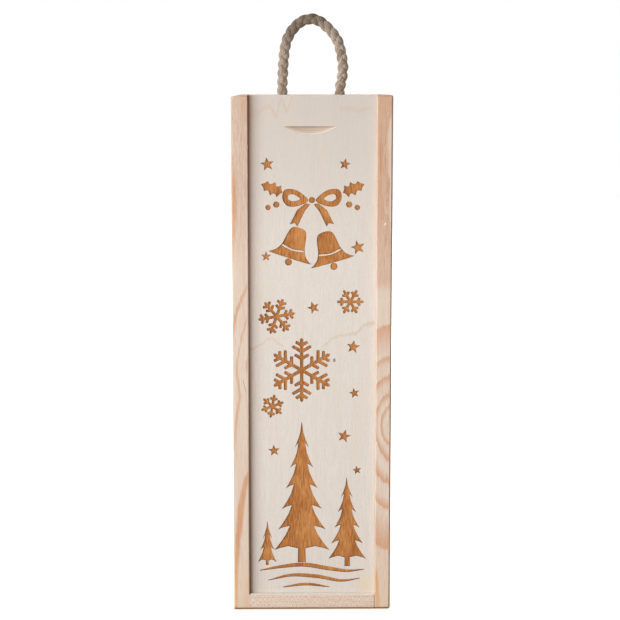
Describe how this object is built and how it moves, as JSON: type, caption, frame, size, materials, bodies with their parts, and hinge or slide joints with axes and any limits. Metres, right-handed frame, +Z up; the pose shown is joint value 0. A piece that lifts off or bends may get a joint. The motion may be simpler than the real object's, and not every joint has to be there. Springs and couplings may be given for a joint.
{
  "type": "wooden bottle box",
  "caption": "Tall pine gift box for a wine bottle, with a sliding engraved plywood lid, a finger notch and a knotted rope handle.",
  "frame": {"origin": "centre of the base, on the surface that the box stands on", "axes": "+Z up along the box, -Y towards the viewer on the lid's side, +X to that viewer's right"},
  "size_m": [0.108, 0.1, 0.4095],
  "materials": {
    "pine_boards": "planed pine, unfinished, pinkish tan grain",
    "pine_end_boards": "planed pine, unfinished, paler with fine grain",
    "birch_plywood": "sanded birch plywood, unfinished, matt",
    "engraved_birch": "laser-browned birch, matt",
    "jute_rope": "plaited natural fibre, dry and hairy",
    "steel_nails": "bright wire, slightly dull"
  },
  "bodies": {
    "root": {"left_side_board": "pine_boards", "right_side_board": "pine_boards", "bottom_end_board": "pine_end_boards", "top_end_board": "pine_end_boards", "back_panel": "birch_plywood", "left_rope_knot": "jute_rope", "right_rope_knot": "jute_rope", "left_side_brads": "steel_nails", "right_side_brads": "steel_nails", "back_panel_pins": "steel_nails"},
    "lid": {"sliding_lid": "birch_plywood"},
    "handle": {"rope_handle": "jute_rope"}
  },
  "joints": [
    {"name": "lid_slide", "type": "slide", "parent": "root", "child": "lid", "axis": [0, 0, 1], "range_m": [0, 0.348]},
    {"name": "handle_fold", "type": "hinge", "parent": "root", "child": "handle", "pos_m": [0, 0.00187, 0.3575], "axis": [-1, 0, 0], "range_deg": [-55, 75], "stiffness_Nm_per_rad": 0.02}
  ]
}
